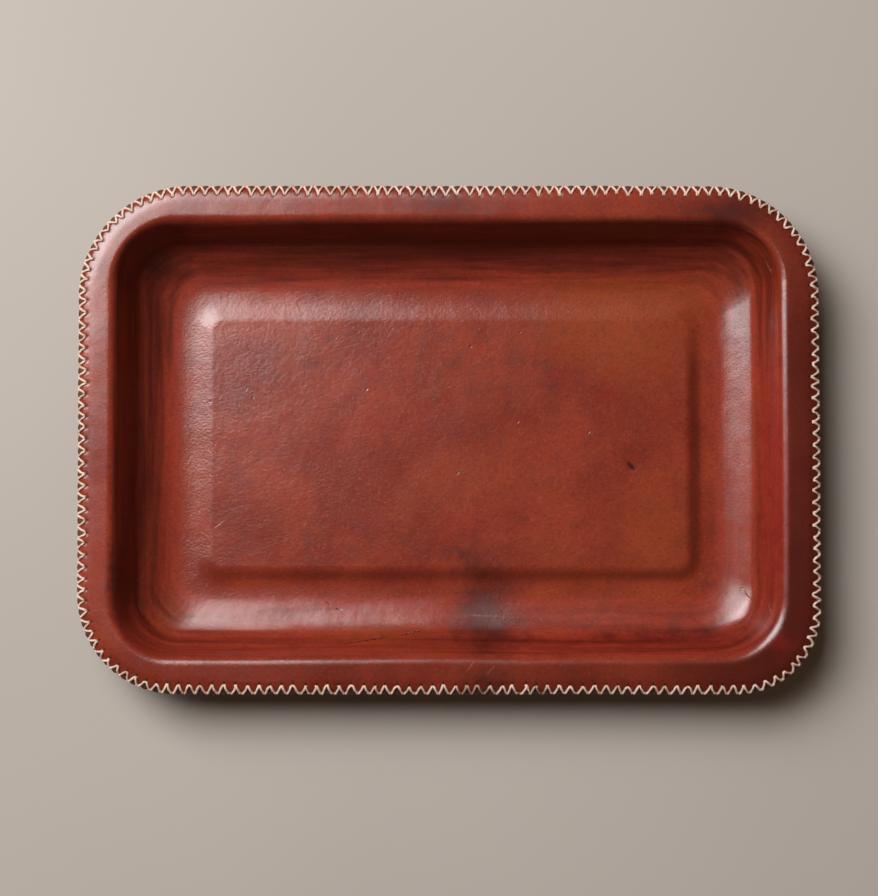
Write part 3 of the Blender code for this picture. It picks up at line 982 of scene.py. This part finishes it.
# Where dirt took the colour of the thread near the front stain, and two long bands of painted shade
# on its outer parts along the front and the right, which face away from the light
GRUBBY_AND_SHADED_STITCHES = (
    (14.0, -136.0, 30.0, 14.0, 0),
    (48.0, -136.0, 12.0, 12.0, 0),
    (105.0, -140.5, 220.0, 10.0, 0),
    (203.0, -10.0, 11.0, 240.0, 0),
)
# How far tears in the grain shift the outline of a mark
MARK_WAVER = 0.0016

# Blend to raw leather between the legs of thread, darkened with painted shade of the threads,
# measured outward from a leg
RAW_AND_SHADED_BLEND = (-0.0002, 0.0005)
# Painted shade in the pit just inside each hole, measured inward from a leg, and how fast it fades
# along the row
DIMPLE_SHADE_OFFSET = 0.0018
DIMPLE_SHADE_FADE = 0.0040
# Blend to the colour of the cut edge, as insets
CUT_EDGE_BLEND = (0.0012, 0.0002)
CUT_EDGE_COLOUR = "2c140d"


def marks(tree, place, shapes):
    """1 in the middle of each mark and 0 round it."""
    total = 0.0
    for x, y, length, width, turn in shapes:
        frame_of_mark = {
            "Vector": place,
            "Location": (x * MM, y * MM, 0.0),
            "Rotation": (0.0, 0.0, math.radians(turn)),
            "Scale": (length / 2 * MM, width / 2 * MM, 1.0),
        }
        local = add(tree, "Mapping", frame_of_mark, vector_type="TEXTURE")
        mark = add(tree, "TexGradient", {"Vector": local}, out="Fac", gradient_type="SPHERICAL")
        total = add(tree, "Math", {0: total, 1: mark}, operation="MAXIMUM")
    return total


def waxed_leather():
    """Wet-moulded vegetable-tanned cowhide, dyed by hand, waxed and burnished.

    The dyeing took unevenly, so the colour clouds from oxblood to orange-brown, and burnishing
    drew the wall's colour out in dark streaks. The rim, the walls and the groove round the
    panel are darker on the sides that face away from the light: on the rim partly from dyeing,
    on the walls partly from burnishing, and the rest is painted shade. Painted shade also lies
    in three patches under the lip, in the pit inside each hole and over the raw leather between
    the legs of thread, and two orange patches on the right of the panel hold painted sheen.
    The wax is a thin clear film with a soft gloss over the diagonal grain, and the leather
    outside the legs of thread was left raw and dark.
    """
    material, tree, shader = new_material("waxed_leather")
    place = add(tree, "TexCoord", out="Object")
    value = {
        name: add(tree, "Attribute", out="Fac", attribute_name=name)
        for name, width in POINT_VALUES.items() if width == 1
    }
    streak_place = add(tree, "Attribute", out="Vector", attribute_name="streak_place")
    seam_place = add(tree, "Attribute", out="Vector", attribute_name="seam_place")

    clouds = add(tree, "TexNoise", {
        "Vector": place, "Scale": per_mm(42), "Detail": 5.0, "Roughness": 0.6})
    mottle = add(tree, "TexNoise", {
        "Vector": place, "Scale": per_mm(9), "Detail": 5.0, "Roughness": 0.65})
    along_wall = add(tree, "Mapping", {"Vector": streak_place, "Scale": (0.06, 0.06, 1.0)})
    streaks = add(tree, "TexNoise", {
        "Vector": along_wall, "Scale": per_mm(4.6), "Detail": 4.0, "Roughness": 0.6})
    streaks = add(tree, "Math", {0: streaks, 1: 0.5}, operation="SUBTRACT")
    streaks = add(tree, "Math", {0: streaks, 1: value["wall_share"]}, operation="MULTIPLY")
    wall_dye_and_shade = add(tree, "Math", {0: streaks, 1: 1.5, 2: value["wall_dye_and_shade"]},
                   operation="MULTIPLY_ADD")
    # The grain's own cells, about 0.3 mm wide, are too fine to show and are drawn 1.3 mm wide
    along_grain = add(tree, "Mapping", {
        "Vector": place, "Rotation": (0.0, 0.0, -math.radians(57)), "Scale": (0.70, 1.0, 1.0)})
    wrinkles = add(tree, "TexNoise", {
        "Vector": along_grain, "Scale": per_mm(1.3), "Detail": 3.0, "Roughness": 0.6})
    torn = add(tree, "TexNoise", {
        "Vector": place, "Scale": per_mm(1.6), "Detail": 3.0}, out="Color")
    torn = add(tree, "VectorMath", {0: torn, 1: (0.5, 0.5, 0.5)}, operation="SUBTRACT")
    torn = add(tree, "VectorMath", {0: torn, 1: (MARK_WAVER, MARK_WAVER, 0.0), 2: place},
               operation="MULTIPLY_ADD")
    cuts = marks(tree, torn, CUTS)
    scuffs = marks(tree, torn, SCUFFS)
    patches = {}
    for name in ("dark_dye_and_shade", "grey_dye", "orange_dye_and_sheen", "cherry_dye"):
        patches[name] = add(tree, "Math", {0: mottle, 1: 0.6, 2: value[name]},
                            operation="MULTIPLY_ADD")

    cosine, sine, inset = (add(tree, "SeparateXYZ", {0: seam_place}, out=axis) for axis in range(3))
    phase = add(tree, "Math", {0: sine, 1: cosine}, operation="ARCTAN2")
    off_hole = add(tree, "Math", {0: phase, 1: FULL_TURN}, operation="DIVIDE")
    off_hole = add(tree, "Math", {0: off_hole}, operation="ABSOLUTE")
    leg_share = add(tree, "Math", {0: off_hole, 1: -1 / LEG_REACH, 2: 1.0},
                    operation="MULTIPLY_ADD")
    leg_inset = add(tree, "Math", {0: leg_share, 1: value["hole_inset"]}, operation="MULTIPLY")
    outside = add(tree, "Math", {0: leg_inset, 1: inset}, operation="SUBTRACT")
    off_dimple_shade = add(tree, "Math", {0: outside, 1: DIMPLE_SHADE_OFFSET}, operation="ADD")
    off_dimple_shade = add(tree, "Math", {0: off_dimple_shade}, operation="ABSOLUTE")
    dimple_shade = add(tree, "Math", {0: off_hole, 1: DIMPLE_SHADE_FADE, 2: off_dimple_shade},
                 operation="MULTIPLY_ADD")

    colour = layered_colour(tree, "7d2b1b", (
        (clouds, 0.35, 0.65, 1.0, "913722"),
        (value["wall_share"], 0.0, 1.0, 0.85, "943422"),
        (wrinkles, 0.56, 0.76, 0.26, "b8664a"),
        # Dye and painted shade on the rim, at the right and the front
        (value["rim_dye_and_shade"], 0.0, 1.0, 0.85, "3f100b"),
        # Orange dye, and painted sheen in two patches
        (patches["orange_dye_and_sheen"], 0.40, 1.10, 0.80, "93401f"),
        (patches["cherry_dye"], 0.40, 1.10, 0.80, "8f1d17"),
        (patches["grey_dye"], 0.45, 1.20, 0.60, "5c352c"),
        (mottle, 0.44, 0.70, 0.28, "57190f"),
        # Dye and painted shade on the walls, streaked by burnishing, darkest on the back and left
        (wall_dye_and_shade, 0.0, 1.0, 0.85, "3d0f09"),
        # Painted shade in the groove, on the step faces turned away from the light
        (value["groove_shade"], 0.0, 1.0, 0.62, "471409"),
        # Dark dye, and painted shade in three patches under the lip
        (patches["dark_dye_and_shade"], 0.45, 1.20, 0.80, "300c0a"),
        (wrinkles, 0.50, 0.28, 0.34, "4c150d"),
        (cuts, 0.15, 0.75, 0.85, "210b08"),
        (scuffs, 0.15, 0.80, 0.38, "ac6a60"),
        # Raw leather between the legs of thread, with painted shade of the threads
        (outside, *RAW_AND_SHADED_BLEND, 0.85, "4c2014"),
        # Painted shade in the pit inside each hole
        (dimple_shade, 0.0012, 0.0003, 0.80, "2e0f0a"),
        (inset, *CUT_EDGE_BLEND, 0.75, CUT_EDGE_COLOUR),
    ))

    rough = add(tree, "MapRange", {
        "Value": mottle, "From Min": 0.3, "From Max": 0.7, "To Min": 0.21, "To Max": 0.27})
    raw = add(tree, "MapRange", {
        "Value": outside, "From Min": RAW_AND_SHADED_BLEND[0], "From Max": RAW_AND_SHADED_BLEND[1]})
    dull = add(tree, "MapRange", {
        "Value": patches["dark_dye_and_shade"], "From Min": 0.45, "From Max": 1.2, "To Max": 0.05})
    rough = add(tree, "Math", {0: rough, 1: dull}, operation="ADD")
    rough = add(tree, "Mix", {0: raw, 2: rough, 3: 0.7})

    grain_depth = add(tree, "MapRange", {
        "Value": inset, "From Min": 0.012, "From Max": 0.020, "To Min": 0.35})
    stretched = add(tree, "Math", {0: value["wall_share"], 1: -0.6, 2: 1.0},
                    operation="MULTIPLY_ADD")
    grain_depth = add(tree, "Math", {0: grain_depth, 1: stretched}, operation="MULTIPLY")
    normal = add(tree, "Bump", {"Height": wrinkles, "Strength": grain_depth, "Distance": 0.00011})
    normal = add(tree, "Bump", {
        "Height": cuts, "Strength": 1.0, "Distance": 0.00014, "Normal": normal}, invert=True)
    fill(tree, shader, {"Base Color": colour, "Roughness": rough, "IOR": 1.56, "Normal": normal})
    fill(tree, shader, {"Coat Weight": 0.18, "Coat Roughness": 0.17, "Coat IOR": 1.44})
    fill(tree, shader, {"Coat Normal": normal})
    return material


def lining_leather():
    """Thin split lining leather, drum-dyed and left matt: an even brown with a short nap.

    The nap's fibres are too fine to show, so its tufts are drawn 0.9 mm wide.
    """
    material, tree, shader = new_material("lining_leather")
    place = add(tree, "TexCoord", out="Object")
    clouds = add(tree, "TexNoise", {"Vector": place, "Scale": per_mm(30), "Detail": 5.0})
    nap = add(tree, "TexNoise", {
        "Vector": place, "Scale": per_mm(0.9), "Detail": 4.0, "Roughness": 0.7})
    inset = add(tree, "Attribute", out="Vector", attribute_name="seam_place")
    inset = add(tree, "SeparateXYZ", {0: inset}, out=2)
    colour = layered_colour(tree, "5e2a1c", (
        (clouds, 0.3, 0.7, 1.0, "7a3a26"),
        (nap, 0.4, 0.7, 0.4, "8f4c34"),
        (inset, *CUT_EDGE_BLEND, 0.8, CUT_EDGE_COLOUR),
    ))
    normal = add(tree, "Bump", {"Height": nap, "Strength": 1.0, "Distance": 0.00015})
    fill(tree, shader, {"Base Color": colour, "Roughness": 0.72, "Normal": normal})
    return material


def raw_fibreboard():
    """Pressed brown fibreboard, uncoated: matt, with short fibres, drawn as bundles of 0.8 mm."""
    material, tree, shader = new_material("raw_fibreboard")
    place = add(tree, "TexCoord", out="Object")
    along_fibres = add(tree, "Mapping", {
        "Vector": place, "Rotation": (0.0, 0.0, -math.radians(20)), "Scale": (0.2, 1.0, 1.0)})
    fibres = add(tree, "TexNoise", {
        "Vector": along_fibres, "Scale": per_mm(0.8), "Detail": 4.0, "Roughness": 0.7})
    colour = layered_colour(tree, "7d644c", ((fibres, 0.3, 0.7, 1.0, "a58a6c"),))
    normal = add(tree, "Bump", {"Height": fibres, "Strength": 0.7, "Distance": 0.0001})
    fill(tree, shader, {"Base Color": colour, "Roughness": 0.85, "Normal": normal})
    return material


def waxed_thread():
    """Undyed linen thread drawn through beeswax: cream, with a dull sheen and grubby patches.

    Painted shade turns it brown where it goes down round the edge, and on its outer parts
    along the front and the right, which face away from the light. Its fibres, about 0.02 mm
    thick, are too fine to show and are drawn 0.35 mm thick.
    """
    material, tree, shader = new_material("waxed_thread")
    place = add(tree, "TexCoord", out="Object")
    grime = add(tree, "TexNoise", {
        "Vector": place, "Scale": per_mm(8), "Detail": 4.0, "Roughness": 0.65})
    fibre = add(tree, "TexNoise", {"Vector": place, "Scale": per_mm(0.35), "Detail": 3.0})
    height = add(tree, "SeparateXYZ", {0: place}, out=2)
    grubby_and_shaded = marks(tree, place, GRUBBY_AND_SHADED_STITCHES)
    colour = layered_colour(tree, "e3c6b3", (
        # Painted shade on the low parts of the thread round the edge; then dirty patches near the
        # front stain, and painted shade along the front and the right
        (height, RIM_HEIGHT - 0.0014, RIM_HEIGHT - 0.0034, 0.55, "8f6650"),
        (grubby_and_shaded, 0.0, 0.6, 0.78, "5f3a2c"),
        (grime, 0.42, 0.72, 0.75, "a97c60"),
        (fibre, 0.50, 0.75, 0.35, "a9795a"),
    ))
    normal = add(tree, "Bump", {"Height": fibre, "Strength": 0.8, "Distance": 0.00008})
    fill(tree, shader, {"Base Color": colour, "Roughness": 0.55, "Normal": normal})
    return material


def painted_table():
    """Smooth matt greige paint, rolled on."""
    material, tree, shader = new_material("painted_table")
    place = add(tree, "TexCoord", out="Object")
    tone = add(tree, "TexNoise", {"Vector": place, "Scale": per_mm(400), "Detail": 2.0})
    colour = layered_colour(tree, "b2aaa2", ((tone, 0.3, 0.7, 1.0, "b7afa7"),))
    fill(tree, shader, {"Base Color": colour, "Roughness": 0.9, "Specular IOR Level": 0.1})
    return material


# Stage, light and camera


def make_floor():
    """A wide painted surface, just under the tray."""
    reach = 6.0
    drop = 0.0002
    mesh = bpy.data.meshes.new("floor")
    corners = [(-reach, -reach, -drop), (reach, -reach, -drop), (reach, reach, -drop)]
    mesh.from_pydata(corners + [(-reach, reach, -drop)], [], [(0, 1, 2, 3)])
    mesh.materials.append(painted_table())
    floor = add_object("floor", mesh)


def make_softbox(name, size, power, distance):
    """One lit rectangle of the softbox, which faces the tray."""
    lamp = bpy.data.lights.new(name, "AREA")
    lamp.shape = "RECTANGLE"
    lamp.size, lamp.size_y = size
    lamp.energy = power
    direction = Vector((-math.tan(SOFTBOX_LEFT), math.tan(SOFTBOX_BACK), 1.0)).normalized()
    right = Vector((0.0, 1.0, 0.0)).cross(direction).normalized()
    up = direction.cross(right)
    light = add_object(name, lamp)
    light.location = direction * distance
    light.rotation_euler = Matrix((right, up, direction)).transposed().to_euler()


def make_room():
    """Even warm light from all round, as walls give."""
    world = bpy.data.worlds.new("studio")
    world.use_nodes = True
    background = world.node_tree.nodes["Background"]
    background.inputs["Color"].default_value = linear(ROOM_COLOUR)
    background.inputs["Strength"].default_value = ROOM_LEVEL
    bpy.context.scene.world = world


def make_camera():
    camera = add_object("camera", bpy.data.cameras.new("camera"))
    camera.data.lens = PHOTO_LENS
    back = Vector((0.0, -math.sin(CAMERA_TILT), math.cos(CAMERA_TILT)))
    camera.location = CAMERA_AIM + back * CAMERA_DISTANCE
    camera.rotation_euler = (CAMERA_TILT, 0.0, 0.0)
    bpy.context.scene.camera = camera
    bpy.context.scene.view_settings.view_transform = "Standard"


def dress(piece, material, node):
    piece.data.materials.append(material)
    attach(piece, "root")
    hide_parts(node)


def main():
    edge = EdgeMeasure()
    row = StitchRow(edge)
    dress(face_leather(edge, row), waxed_leather(), "face_leather")
    dress(backing_leather(edge, row), lining_leather(), "backing_leather")
    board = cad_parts["floor_board"]
    board.data.materials.clear()
    board.data.materials.append(raw_fibreboard())
    thread_material = waxed_thread()
    lengths = len(THREAD_NODES)
    ends = [round(STITCHES * index / lengths) for index in range(lengths + 1)]
    for node, first, last in zip(THREAD_NODES, ends, ends[1:]):
        strand = sewing_thread(node, first, last, edge, row)
        dress(strand, thread_material, node)
    make_floor()
    make_softbox("softbox", SOFTBOX_SIZE, SOFTBOX_POWER, SOFTBOX_DISTANCE)
    make_softbox("softbox_core", SOFTBOX_CORE_SIZE, SOFTBOX_CORE_POWER, SOFTBOX_DISTANCE - 0.02)
    make_room()
    make_camera()


main()
